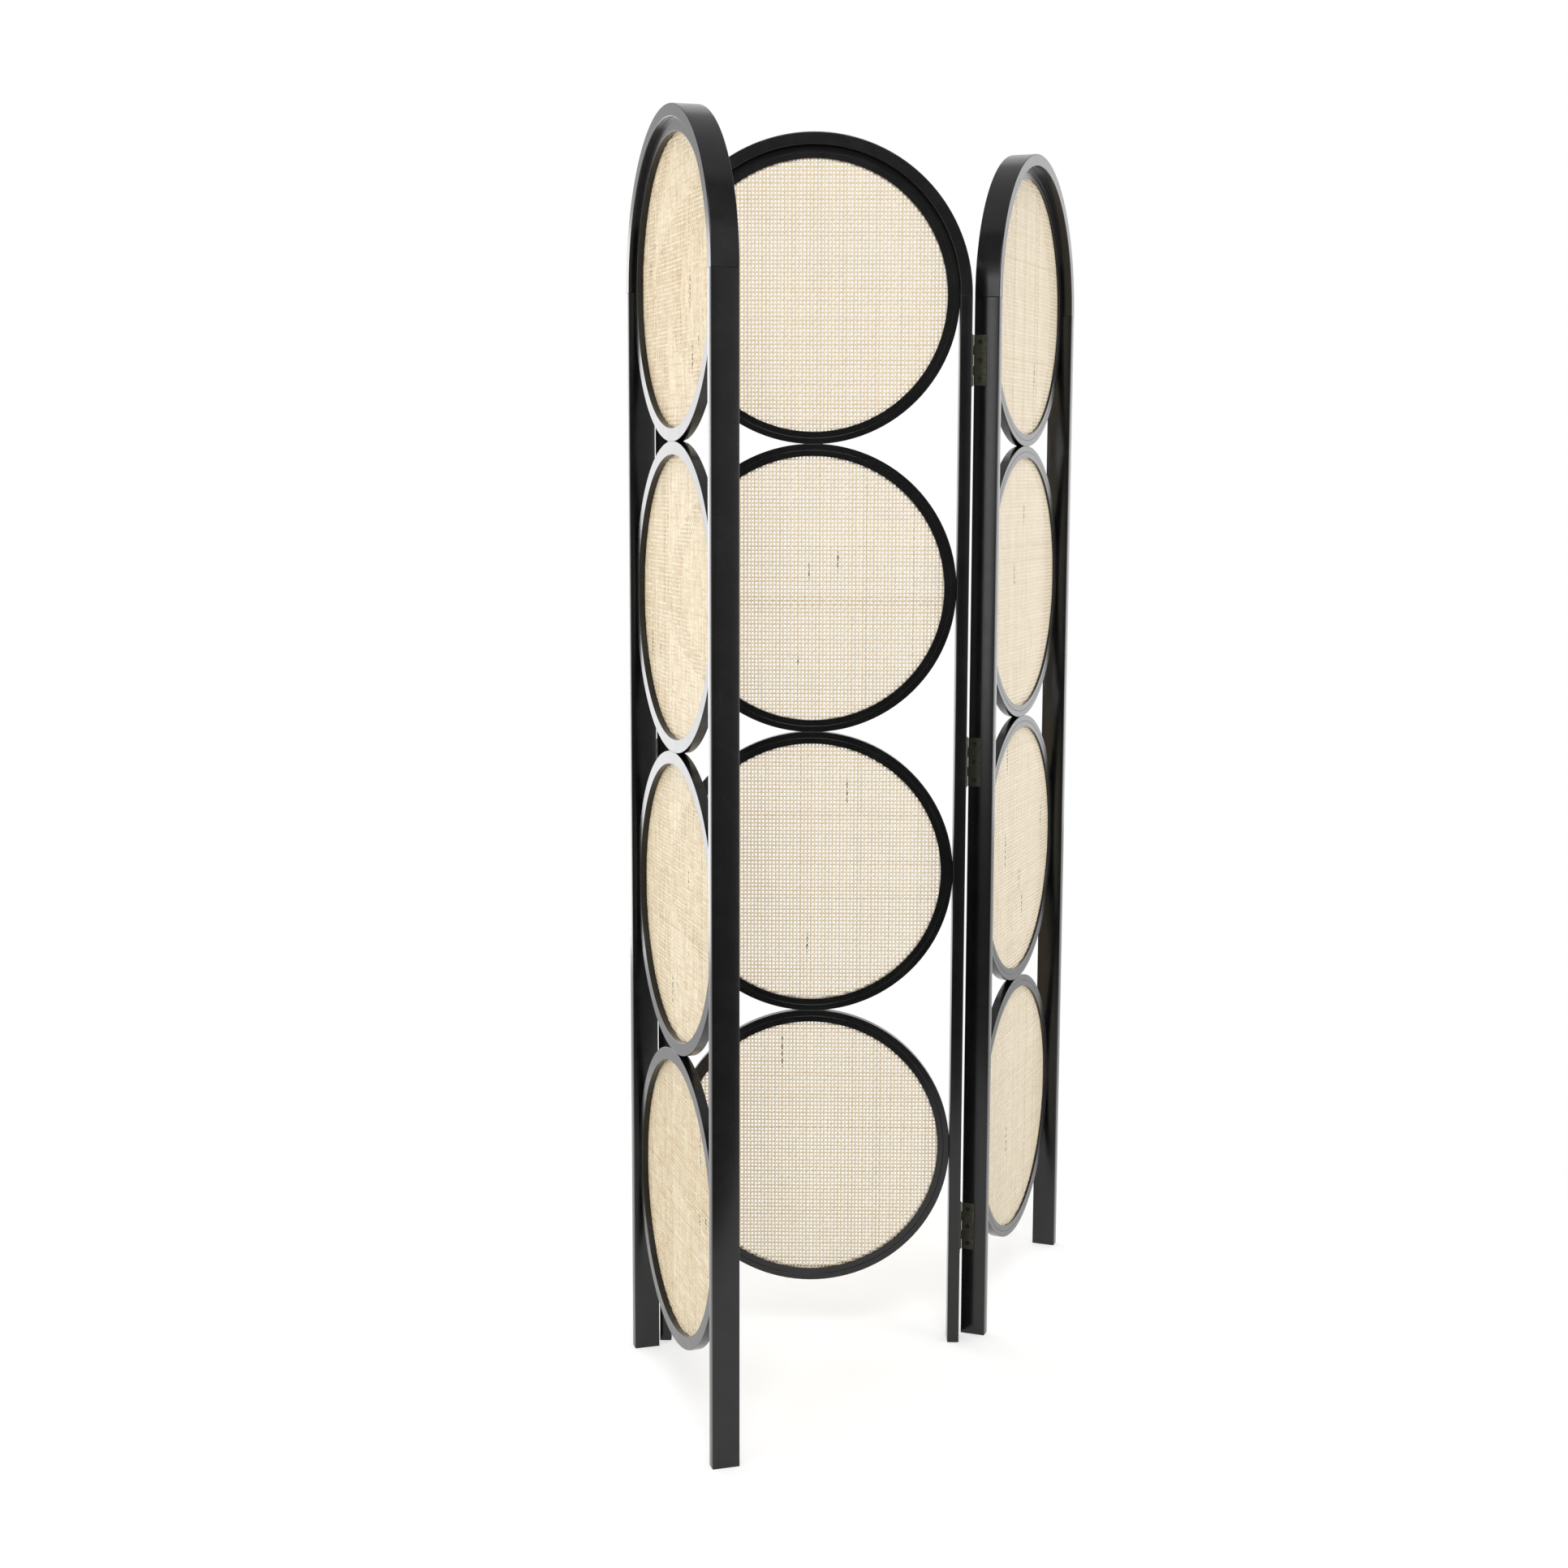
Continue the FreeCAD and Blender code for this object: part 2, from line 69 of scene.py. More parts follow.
# Where each panel stands: a joint's lower limit is the screen opened flat
def panelPlaces():
    middle = Matrix.Translation((panelCentre.x, panelCentre.y, 0))
    places = {"middle": middle}
    hinges = {}
    for joint in frame["joints"]:
        side = joint["name"].split("_")[0]
        pin = Matrix.Translation(joint["pos_m"])
        fold = Matrix.Rotation(math.radians(-joint["range_deg"][0]), 4, "Z")
        flat = Matrix.Translation((2 * (joint["pos_m"][0] - panelCentre.x), 0, 0)) @ middle
        # the left pins are at the front of the screen, the right ones at its back
        facing = Matrix.Rotation(math.pi if side == "left" else 0, 4, "Z")
        places[side] = pin @ fold @ pin.inverted() @ flat
        hinges[side] = {"middle": pin @ facing, side: pin @ fold @ facing}
    return places, hinges


panels, hingeFrames = panelPlaces()


# Materials: colours are written as sRGB and turned to linear
def hexColour(code):
    channels = [int(code[start:start + 2], 16) / 255 for start in (1, 3, 5)]
    linear = [c / 12.92 if c <= 0.04045 else ((c + 0.055) / 1.055) ** 2.4 for c in channels]
    return (*linear, 1.0)


white = hexColour("#ffffff")


def addNode(tree, kind, settings, links):
    node = tree.nodes.new(kind)
    for name, value in settings.items():
        if name == "ramp":
            for element, (position, colour) in zip(node.color_ramp.elements, value):
                element.position = position
                element.color = hexColour(colour)
        elif isinstance(name, int) or name in node.inputs:
            node.inputs[name].default_value = value
        else:
            setattr(node, name, value)
    for name, socket in links.items():
        tree.links.new(socket, node.inputs[name])
    return node


def newMaterial(name):
    material = bpy.data.materials.new(name)
    material.use_nodes = True
    tree = material.node_tree
    return material, tree, tree.nodes["Principled BSDF"]


# Satin black lacquer sprayed on filled beech: near black face on, pale grey at a glance, faintly rubbed
lacquer = {
    "deepBlack": "#060607",
    "wornBlack": "#151515",
    "toneRange": (0.2, 0.45),  # of the patchy tone, from deep to worn black
    "cloud": 0.045,  # size of the cloudy tone
    "fleck": 0.003,  # dark dimples in the film, in patches
    "rub": 0.018,  # rubbed spots in the sheen
    "grain": 0.0016,  # pores under the film, drawn coarser than the real 0.2 mm so that they show
    "grainLength": 0.07,  # along a straight stile
    "bentStretch": 3.0,  # short on bent wood, which turns away from the pattern's one direction
    "poreStrength": 0.03,
    "poreDepth": 0.0004,
    "roughness": (0.17, 0.22),
    "ior": 1.5,
}


def blackLacquer(name, grainStretch):
    material, tree, surface = newMaterial(name)
    place = addNode(tree, "ShaderNodeTexCoord", {}, {})
    cloud = addNode(tree, "ShaderNodeTexNoise",
                    {"Scale": 1 / lacquer["cloud"], "Detail": 5.0, "Roughness": 0.6},
                    {"Vector": place.outputs["Object"]})
    fleck = addNode(tree, "ShaderNodeTexNoise",
                    {"Scale": 1 / lacquer["fleck"], "Detail": 2.0},
                    {"Vector": place.outputs["Object"]})
    patchy = addNode(tree, "ShaderNodeMath", {"operation": "MULTIPLY"},
                     {0: cloud.outputs["Fac"], 1: fleck.outputs["Fac"]})
    tones = zip(lacquer["toneRange"], (lacquer["deepBlack"], lacquer["wornBlack"]))
    tone = addNode(tree, "ShaderNodeValToRGB", {"ramp": tones}, {"Fac": patchy.outputs["Value"]})
    rub = addNode(tree, "ShaderNodeTexNoise",
                  {"Scale": 1 / lacquer["rub"], "Detail": 6.0, "Roughness": 0.65},
                  {"Vector": place.outputs["Object"]})
    smoothest, roughest = lacquer["roughness"]
    sheen = addNode(tree, "ShaderNodeMapRange",
                    {"From Min": 0.3, "From Max": 0.7, "To Min": smoothest, "To Max": roughest},
                    {"Value": rub.outputs["Fac"]})
    fine = 1 / lacquer["grain"]
    stretch = addNode(tree, "ShaderNodeMapping",
                      {"Scale": (fine, fine, fine / grainStretch)},
                      {"Vector": place.outputs["Object"]})
    grain = addNode(tree, "ShaderNodeTexNoise",
                    {"Scale": 1.0, "Detail": 3.0},
                    {"Vector": stretch.outputs["Vector"]})
    relief = addNode(tree, "ShaderNodeBump",
                     {"Strength": lacquer["poreStrength"], "Distance": lacquer["poreDepth"]},
                     {"Height": grain.outputs["Fac"]})
    surface.inputs["IOR"].default_value = lacquer["ior"]
    tree.links.new(tone.outputs["Color"], surface.inputs["Base Color"])
    tree.links.new(sheen.outputs["Result"], surface.inputs["Roughness"])
    tree.links.new(relief.outputs["Normal"], surface.inputs["Normal"])
    return material


lacquerSlot = "black_lacquered_wood"
stileLacquer = blackLacquer("blackLacquerStraightGrain", lacquer["grainLength"] / lacquer["grain"])
bentLacquer = blackLacquer("blackLacquerBentwood", lacquer["bentStretch"])

# Cane web: flat strands, each over one and under the next
weave = {
    "acrossPitch": 0.0053,  # between upright strands
    "upPitch": 0.0057,  # between level strands
    "width": 0.0026,
    "thickness": 0.00055,
    "rise": 0.000325,  # centre of a strand above or below the web's middle at a crossing
    "wander": 0.00018,  # of a strand to each side of its place
    "swayWaves": 9,  # radians of sway from the middle of a disc to its rim
    "swayStart": 6,  # most radians by which a strand's sway begins ahead
    "widthSpread": 0.07,
    "toneSpread": 0.25,
    "rowPaintedShade": (0.08, 0.02, 0.0, 0.04),  # painted shade for each row of discs, from the top down
    "darkShare": 0.03,  # of the strands, those of a darker cane
    "darkTone": 0.25,
    "markShare": 0.042,  # of the upright strands, those with a dark fibre
    "markLength": (0.012, 0.05),
    "markSpread": 0.8,  # share of a strand's length that may hold its mark
    "seed": 11,
}

# Split rattan, woven: pale straw with a dull shine, each strand its own tone, dark fibres here and there
caneLook = {
    "face": ("#f9eed7", "#d4bc96", 0.1),  # palest and darkest strand, and how far it streaks; peel side
    "back": ("#fbedcc", "#d2ae76", 0.6),  # the core side is yellower and streakier
    "edge": ("#efe5d2", "#cbb699", 0.4),  # split sides of a strand, browner
    "toneRange": (0.15, 1.0),  # of all that darkens a strand, from palest to darkest
    "streakLength": 0.05,
    "mark": "#4a3519",
    "fibreLength": 0.016,
    "fibreWidth": 0.0004,
    "fibreTone": 0.4,
    "fibreStrength": 0.3,
    "fibreDepth": 0.0001,
    "fleck": 0.004,  # break-up of a dark mark along its strand
    "paintedCentreShade": 0.3,  # painted shade, darker along the middle of a strand
    "paintedCentreShadeReach": weave["width"] / 3,
    "roughness": 0.5,
    "ior": 1.5,
}


def wovenCane(name, palest, darkest, streak):
    material, tree, surface = newMaterial(name)
    tone = addNode(tree, "ShaderNodeAttribute", {"attribute_name": "strandTone"}, {})
    stain = addNode(tree, "ShaderNodeAttribute", {"attribute_name": "strandMark"}, {})
    strand = addNode(tree, "ShaderNodeUVMap", {"uv_map": "alongStrand"}, {})
    stretch = addNode(tree, "ShaderNodeMapping",
                      {"Scale": (1 / caneLook["fibreLength"], 1 / caneLook["fibreWidth"], 1.0)},
                      {"Vector": strand.outputs["UV"]})
    fibre = addNode(tree, "ShaderNodeTexNoise",
                    {"Scale": 1.0, "Detail": 4.0},
                    {"Vector": stretch.outputs["Vector"]})
    ownTone = addNode(tree, "ShaderNodeMath",
                      {"operation": "MULTIPLY_ADD", 1: caneLook["fibreTone"]},
                      {0: fibre.outputs["Fac"], 2: tone.outputs["Fac"]})
    split = addNode(tree, "ShaderNodeSeparateXYZ", {}, {"Vector": strand.outputs["UV"]})
    wave = addNode(tree, "ShaderNodeTexNoise",
                   {"noise_dimensions": "1D", "Scale": 1 / caneLook["streakLength"], "Detail": 3.0},
                   {"W": split.outputs["X"]})
    streaks = addNode(tree, "ShaderNodeMapRange",
                      {"From Min": 0.3, "From Max": 0.7, "To Min": -streak / 2, "To Max": streak / 2},
                      {"Value": wave.outputs["Fac"]})
    streaked = addNode(tree, "ShaderNodeMath", {"operation": "ADD"},
                       {0: ownTone.outputs["Value"], 1: streaks.outputs["Result"]})
    # Painted shade: the tone darkens towards the middle of a strand
    aside = addNode(tree, "ShaderNodeMath", {"operation": "ABSOLUTE"}, {0: split.outputs["Y"]})
    paintedCentreShade = addNode(tree, "ShaderNodeMapRange",
                   {"From Max": caneLook["paintedCentreShadeReach"], "To Min": caneLook["paintedCentreShade"], "To Max": 0.0},
                   {"Value": aside.outputs["Value"]})
    depth = addNode(tree, "ShaderNodeMath", {"operation": "ADD"},
                    {0: streaked.outputs["Value"], 1: paintedCentreShade.outputs["Result"]})
    tones = zip(caneLook["toneRange"], (palest, darkest))
    straw = addNode(tree, "ShaderNodeValToRGB", {"ramp": tones}, {"Fac": depth.outputs["Value"]})
    patch = addNode(tree, "ShaderNodeTexNoise",
                    {"Scale": 1 / caneLook["fleck"], "Detail": 3.0},
                    {"Vector": strand.outputs["UV"]})
    broken = addNode(tree, "ShaderNodeMapRange",
                     {"From Min": 0.35, "From Max": 0.6},
                     {"Value": patch.outputs["Fac"]})
    marked = addNode(tree, "ShaderNodeMath", {"operation": "MULTIPLY"},
                     {0: broken.outputs["Result"], 1: stain.outputs["Fac"]})
    colour = addNode(tree, "ShaderNodeMix",  # its colours are sockets 6 and 7, and its result is output 2
                     {"data_type": "RGBA", 7: hexColour(caneLook["mark"])},
                     {0: marked.outputs["Value"], 6: straw.outputs["Color"]})
    relief = addNode(tree, "ShaderNodeBump",
                     {"Strength": caneLook["fibreStrength"], "Distance": caneLook["fibreDepth"]},
                     {"Height": fibre.outputs["Fac"]})
    surface.inputs["Roughness"].default_value = caneLook["roughness"]
    surface.inputs["IOR"].default_value = caneLook["ior"]
    tree.links.new(colour.outputs[2], surface.inputs["Base Color"])
    tree.links.new(relief.outputs["Normal"], surface.inputs["Normal"])
    return material


caneFace = wovenCane("wovenCaneFace", *caneLook["face"])
caneBack = wovenCane("wovenCaneBack", *caneLook["back"])
caneEdge = wovenCane("splitCaneEdge", *caneLook["edge"])

# Brass sheet left to tarnish: dull olive grey with paler rubbed spots, and screws that have gone black
brassLook = {
    "leaf": ("#4b4c42", "#605f52"),  # tarnished and rubbed
    "screw": ("#1d1d1a", "#3a3931"),
    "toneRange": (0.4, 0.75),  # of the spots, from tarnished to rubbed
    "spot": 0.006,
    "roughness": (0.4, 0.6),  # rubbed and tarnished
}


def agedBrass(name, tarnish, rubbed):
    material, tree, surface = newMaterial(name)
    place = addNode(tree, "ShaderNodeTexCoord", {}, {})
    spots = addNode(tree, "ShaderNodeTexNoise",
                    {"Scale": 1 / brassLook["spot"], "Detail": 5.0},
                    {"Vector": place.outputs["Object"]})
    tones = zip(brassLook["toneRange"], (tarnish, rubbed))
    tone = addNode(tree, "ShaderNodeValToRGB", {"ramp": tones}, {"Fac": spots.outputs["Fac"]})
    smoothest, roughest = brassLook["roughness"]
    dull = addNode(tree, "ShaderNodeMapRange",
                   {"From Min": 0.35, "From Max": 0.7, "To Min": roughest, "To Max": smoothest},
                   {"Value": spots.outputs["Fac"]})
    surface.inputs["Metallic"].default_value = 1.0
    tree.links.new(tone.outputs["Color"], surface.inputs["Base Color"])
    tree.links.new(dull.outputs["Result"], surface.inputs["Roughness"])
    return material


leafBrass = agedBrass("agedBrass", *brassLook["leaf"])
screwBrass = agedBrass("blackenedBrass", *brassLook["screw"])

# Turned beech dowels, bare: pale tan with darker flecks
beechLook = {
    "pale": "#d2b48c",
    "fleck": "#a97f52",
    "toneRange": (0.35, 0.75),  # of the rays, from pale wood to fleck
    "ray": 0.002,
    "roughness": 0.7,
}


def bareBeech():
    material, tree, surface = newMaterial("bareBeech")
    place = addNode(tree, "ShaderNodeTexCoord", {}, {})
    flecks = addNode(tree, "ShaderNodeTexNoise",
                     {"Scale": 1 / beechLook["ray"], "Detail": 4.0},
                     {"Vector": place.outputs["Object"]})
    tones = zip(beechLook["toneRange"], (beechLook["pale"], beechLook["fleck"]))
    tone = addNode(tree, "ShaderNodeValToRGB", {"ramp": tones}, {"Fac": flecks.outputs["Fac"]})
    surface.inputs["Roughness"].default_value = beechLook["roughness"]
    tree.links.new(tone.outputs["Color"], surface.inputs["Base Color"])
    return material


beechMaterial = bareBeech()
print("materials made")


# Helpers that turn a bmesh into a piece on its body
fullTurn = 2 * math.pi
weldDistance = 1e-6


def addPiece(bm, name, place, material, body, slotName, *nodes):
    bmesh.ops.transform(bm, matrix=place, verts=bm.verts)
    mesh = bpy.data.meshes.new(name)
    bm.to_mesh(mesh)
    bm.free()
    mesh.shade_smooth()
    mesh.materials.append(material)
    piece = bpy.data.objects.new(name, mesh)
    bpy.context.scene.collection.objects.link(piece)
    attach(piece, body)
    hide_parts(*nodes)
    return piece


softEdge = {"segments": 3, "fromAngle": 40}  # in degrees, for edges that turn by more than this


def softenEdges(piece, width):
    bevel = piece.modifiers.new("softEdges", "BEVEL")
    bevel.width = width
    bevel.segments = softEdge["segments"]
    bevel.limit_method = "ANGLE"
    bevel.angle_limit = math.radians(softEdge["fromAngle"])
    bevel.harden_normals = True


def addBox(bm, low, high):
    size = Vector(high) - Vector(low)
    middle = (Vector(high) + Vector(low)) / 2
    place = Matrix.Translation(middle) @ Matrix.Diagonal((*size, 1))
    bmesh.ops.create_cube(bm, size=1, matrix=place)


# Turns a profile of radius and depth round the y axis
def spinProfile(bm, corners, steps, angle):
    verts = [bm.verts.new((radius, deep, 0)) for radius, deep in corners]
    edges = [bm.edges.new((verts[n - 1], verts[n])) for n in range(len(verts))]
    whole = angle >= fullTurn
    bmesh.ops.spin(bm, geom=verts + edges, cent=(0, 0, 0), axis=(0, -1, 0), angle=angle, steps=steps,
                   use_merge=whole)
    bmesh.ops.remove_doubles(bm, verts=bm.verts, dist=weldDistance)
    if not whole:
        bmesh.ops.holes_fill(bm, edges=[edge for edge in bm.edges if edge.is_boundary], sides=0)
    bmesh.ops.recalc_face_normals(bm, faces=bm.faces)


# Stiles and arches
frameLook = {
    "longEdge": 0.0012,
    "edgeSegments": 3,
    "jointEdge": 0.00015,
    "archSection": 0.0172,  # just meets the top ring, as glue and lacquer close the joint
    "archSteps": 72,
}


def addStile(panel, side):
    sign = 1 if side == "right" else -1
    bm = bmesh.new()
    across = sorted((sign * halfWidth, sign * (halfWidth - stileWidth)))
    addBox(bm, (across[0], -halfDepth, 0), (across[1], halfDepth, springHeight))
    upright = [edge for edge in bm.edges if edge.calc_length() > springHeight / 2]
    bmesh.ops.bevel(bm, geom=upright, offset=frameLook["longEdge"], affect="EDGES",
                    segments=frameLook["edgeSegments"], profile=0.5, material=-1)
    node = "%s_panel_%s_stile" % (panel, side)
    name = "%sPanel%sStile" % (panel, side.capitalize())
    piece = addPiece(bm, name, panels[panel], stileLacquer, panel + "_panel", lacquerSlot, node)
    softenEdges(piece, frameLook["jointEdge"])


def addArch(panel):
    bm = bmesh.new()
    inner = halfWidth - frameLook["archSection"]
    corners = [(inner, -halfDepth), (halfWidth, -halfDepth), (halfWidth, halfDepth), (inner, halfDepth)]
    spinProfile(bm, corners, frameLook["archSteps"], math.pi)
    place = panels[panel] @ Matrix.Translation((0, 0, springHeight))
    node = panel + "_panel_arch"
    name = panel + "PanelArch"
    piece = addPiece(bm, name, place, bentLacquer, panel + "_panel", lacquerSlot, node)
    softenEdges(piece, frameLook["longEdge"])


# Rings with their rebate, and the bead that holds the cane in it
ringLook = {
    "rimWidth": 0.018,
    "beadWidth": 0.009,
    "rebate": 0.0047,  # depth from the ring's face to the seat of the cane
    "edge": 0.0006,
    "beadEdge": 0.0005,
    "steps": 112,
}
boreRadius = ringRadius - ringLook["rimWidth"]
seatRadius = boreRadius + ringLook["beadWidth"]


def addRing(panel, number):
    bm = bmesh.new()
    corners = [
        (boreRadius, ringLook["rebate"]),
        (seatRadius, ringLook["rebate"]),
        (seatRadius, 0),
        (ringRadius, 0),
        (ringRadius, ringDepth),
        (boreRadius, ringDepth),
    ]
    spinProfile(bm, corners, ringLook["steps"], fullTurn)
    planed = [(1, 0), (-1, 0)]  # flats where the ring meets the stiles and its neighbours
    planed += [(0, 1)] if number > 1 else []
    planed += [(0, -1)] if number < ringCount else []
    for across, up in planed:
        side = Vector((across, 0, up))
        geometry = list(bm.verts) + list(bm.edges) + list(bm.faces)
        bmesh.ops.bisect_plane(bm, geom=geometry, plane_co=side * halfPitch, plane_no=side,
                               clear_outer=True)
        bmesh.ops.holes_fill(bm, edges=[edge for edge in bm.edges if edge.is_boundary], sides=0)
    place = panels[panel] @ Matrix.Translation((0, ringFace, ringCentres[number]))
    node = "%s_panel_ring_%d" % (panel, number)
    name = "%sPanelRing%d" % (panel, number)
    piece = addPiece(bm, name, place, bentLacquer, panel + "_panel", lacquerSlot, node)
    softenEdges(piece, ringLook["edge"])


def addBead(panel, number):
    bm = bmesh.new()
    outer = (beadHigh.x - beadLow.x) / 2
    thick = beadHigh.y - beadLow.y
    corners = [(boreRadius, 0), (outer, 0), (outer, thick), (boreRadius, thick)]
    spinProfile(bm, corners, ringLook["steps"], fullTurn)
    place = panels[panel] @ Matrix.Translation((0, ringFace, ringCentres[number]))
    node = "%s_panel_bead_%d" % (panel, number)
    name = "%sPanelBead%d" % (panel, number)
    piece = addPiece(bm, name, place, bentLacquer, panel + "_panel", lacquerSlot, node)
    softenEdges(piece, ringLook["beadEdge"])


for panel in panels:
    for side in ("left", "right"):
        addStile(panel, side)
    addArch(panel)
    for number in ringCentres:
        addRing(panel, number)
        addBead(panel, number)
print("frames, rings and beads made")


# Weaving the discs: a strand is a strip of faces that rises and falls at each crossing
def addStrand(bm, layers, index, upright, rowPaintedShade, chance):
    own, other = weave["acrossPitch"], weave["upPitch"]
    if not upright:
        own, other = other, own
    radius = (caneHigh.x - caneLow.x - weave["width"]) / 2
    offset = index * own
    crossings = int(math.sqrt(max(radius ** 2 - offset ** 2, 0)) / other)
    if crossings < 1:
        return
    width = weave["width"] * (1 + weave["widthSpread"] * chance.uniform(-1, 1))
    shift = weave["wander"] * chance.uniform(-1, 1)
    lean = weave["wander"] * chance.uniform(-1, 1)
    # the row's painted shade, then the strand's own random tone
    tone = rowPaintedShade + weave["toneSpread"] * chance.random()
    tone += weave["darkTone"] * (chance.random() < weave["darkShare"])
    start = chance.random()
    marked = upright and chance.random() < weave["markShare"]
    markAt = chance.uniform(-weave["markSpread"], weave["markSpread"]) * crossings * other
    markReach = chance.uniform(*weave["markLength"]) / 2
    scale = Matrix.Diagonal((2 * crossings * other, width, 1, 1))
    grid = bmesh.ops.create_grid(bm, x_segments=2 * crossings, y_segments=1, size=0.5, matrix=scale)
    strip = grid["verts"]
    for vert in strip:
        along, across = vert.co.x, vert.co.y
        step = round(along / other)
        rise = weave["rise"] if (step + index + upright) % 2 else -weave["rise"]
        wave = math.sin(weave["swayWaves"] * along / radius + weave["swayStart"] * start)
        aside = offset + shift + lean * wave + across
        vert.co = (aside, rise, along) if upright else (along, rise, aside)
        vert[layers["tone"]] = tone
        vert[layers["mark"]] = 1.0 if marked and abs(along - markAt) < markReach else 0.0
        for loop in vert.link_loops:
            loop[layers["uv"]].uv = (along + start, across)
    if upright:
        bmesh.ops.reverse_faces(bm, faces=list({face for vert in strip for face in vert.link_faces}))


def addCane(panel, number, chance):
    bm = bmesh.new()
    layers = {
        "tone": bm.verts.layers.float.new("strandTone"),
        "mark": bm.verts.layers.float.new("strandMark"),
        "uv": bm.loops.layers.uv.new("alongStrand"),
    }
    radius = (caneHigh.x - caneLow.x) / 2
    for upright, pitch in ((True, weave["acrossPitch"]), (False, weave["upPitch"])):
        reach = int(radius / pitch)
        for index in range(-reach, reach + 1):
            addStrand(bm, layers, index, upright, weave["rowPaintedShade"][number - 1], chance)
    deep = (caneLow.y + caneHigh.y) / 2 - panelCentre.y
    place = panels[panel] @ Matrix.Translation((0, deep, ringCentres[number]))
    node = "%s_panel_cane_%d" % (panel, number)
    name = "%sPanelCane%d" % (panel, number)
    piece = addPiece(bm, name, place, caneFace, panel + "_panel", "woven_cane", node)
    piece.data.materials.append(caneBack)
    piece.data.materials.append(caneEdge)
    solid = piece.modifiers.new("strandThickness", "SOLIDIFY")
    solid.thickness = weave["thickness"]
    solid.offset = 0
    solid.material_offset = 1  # the back
    solid.material_offset_rim = 2  # the split edges


chance = random.Random(weave["seed"])
for panel in panels:
    for number in ringCentres:
        addCane(panel, number, chance)
print("cane woven")

# Butt hinges: leaves with interleaved knuckles, and the heads of their screws
hinge = {
    "heights": (0.172, 0.890, 1.480),  # middles of the hinges above the floor
    "length": 0.073,
    "width": 0.019,
    "thickness": 0.0015,
    "gap": 0.0032,  # between the stiles of two panels in line
    "barrel": 0.0032,  # outer radius of a knuckle
    "barrelSides": 32,
    "pinOffset": 0.0035,  # from the pin's axis to the face of the stiles
    "knuckles": 5,
    "knuckleGap": 0.0003,
    "eye": 0.00165,  # radius of a knuckle's bore
    "edge": 0.0003,
    "screwSpacing": 0.027,
    "screwRadius": 0.0031,
    "screwSides": 24,
    "screwTaper": 0.6,  # radius under the head, as a share of the head's
    "screwProud": 0.00005,  # a head stands this far out of its leaf
    "slotWidth": 0.0009,
    "slotReach": 0.0018,
    "slotDepth": 0.0006,
}


def addLeaf(bm, side, height, knuckles):
    flank = side * hinge["gap"] / 2
    face = side * (hinge["gap"] / 2 - hinge["thickness"])
    half = hinge["length"] / 2
    clear = hinge["barrel"] + hinge["knuckleGap"]
    left, right = sorted((flank, face))
    deep = hinge["pinOffset"] + hinge["width"]
    foot = height - half
    addBox(bm, (left, -deep, foot), (right, -clear, height + half))
    last = hinge["knuckles"] - 1
    for number in knuckles:
        low = foot + number * hinge["length"] / hinge["knuckles"]
        high = foot + (number + 1) * hinge["length"] / hinge["knuckles"]
        low += hinge["knuckleGap"] / 2 * (number > 0)
        high -= hinge["knuckleGap"] / 2 * (number < last)
        addBox(bm, (left, -clear, low), (right, -hinge["eye"], high))
        middle = Matrix.Translation((0, 0, (low + high) / 2))
        bmesh.ops.create_cone(bm, cap_ends=True, segments=hinge["barrelSides"], radius1=hinge["barrel"],
                              radius2=hinge["barrel"], depth=high - low, matrix=middle)


def facesUp(face):
    return face.normal.z > 0.99


def addScrewHead(bm, side, height):
    head = bmesh.new()
    bmesh.ops.create_cone(head, cap_ends=True, segments=hinge["screwSides"],
                          radius1=hinge["screwRadius"] * hinge["screwTaper"],
                          radius2=hinge["screwRadius"], depth=hinge["thickness"])
    reach, half = hinge["slotReach"], hinge["slotWidth"] / 2
    for cut in (-reach, -half, half, reach):
        for direction in (Vector((1, 0, 0)), Vector((0, 1, 0))):
            top = [face for face in head.faces if facesUp(face)]
            around = {part for face in top for part in (*face.verts, *face.edges, face)}
            bmesh.ops.bisect_plane(head, geom=list(around), plane_co=direction * cut, plane_no=direction)
    cross = []
    for face in head.faces:
        spot = face.calc_center_median()
        inLine = min(abs(spot.x), abs(spot.y)) < half
        inReach = max(abs(spot.x), abs(spot.y)) < reach
        if facesUp(face) and inLine and inReach:
            cross.append(face)
    sunk = bmesh.ops.extrude_face_region(head, geom=cross)["geom"]
    bmesh.ops.delete(head, geom=cross, context="FACES")
    floor = [part for part in sunk if isinstance(part, bmesh.types.BMVert)]
    bmesh.ops.translate(head, vec=(0, 0, -hinge["slotDepth"]), verts=floor)
    into = Matrix.Rotation(-side * math.pi / 2, 4, "Y")
    aside = side * (hinge["gap"] / 2 - hinge["thickness"] / 2 - hinge["screwProud"])
    place = Matrix.Translation((aside, -(hinge["pinOffset"] + hinge["width"] / 2), height)) @ into
    bmesh.ops.transform(head, matrix=place, verts=head.verts)
    loose = bpy.data.meshes.new("screwHead")
    head.to_mesh(loose)
    head.free()
    bm.from_mesh(loose)
    bpy.data.meshes.remove(loose)


# Knuckles take turns: the first, third and fifth are on the middle panel's leaf
def addHinges(joint):
    for role, owner, side, first in (("middle", "middle", -1, 0), ("side", joint, 1, 1)):
        knuckles = range(first, hinge["knuckles"], 2)
        node = "%s_hinge_%s_" % (joint, role)
        name = "%sHinge%s" % (joint, role.capitalize())
        leaves = bmesh.new()
        heads = bmesh.new()
        for height in hinge["heights"]:
            addLeaf(leaves, side, height, knuckles)
            for step in (-1, 0, 1):
                addScrewHead(heads, side, height + step * hinge["screwSpacing"])
        body = owner + "_panel"
        place = hingeFrames[joint][owner]
        piece = addPiece(leaves, name + "Leaves", place, leafBrass, body, "aged_brass", node + "leaves")
        softenEdges(piece, hinge["edge"])
        addPiece(heads, name + "Screws", place, screwBrass, body, "aged_brass", node + "screws")


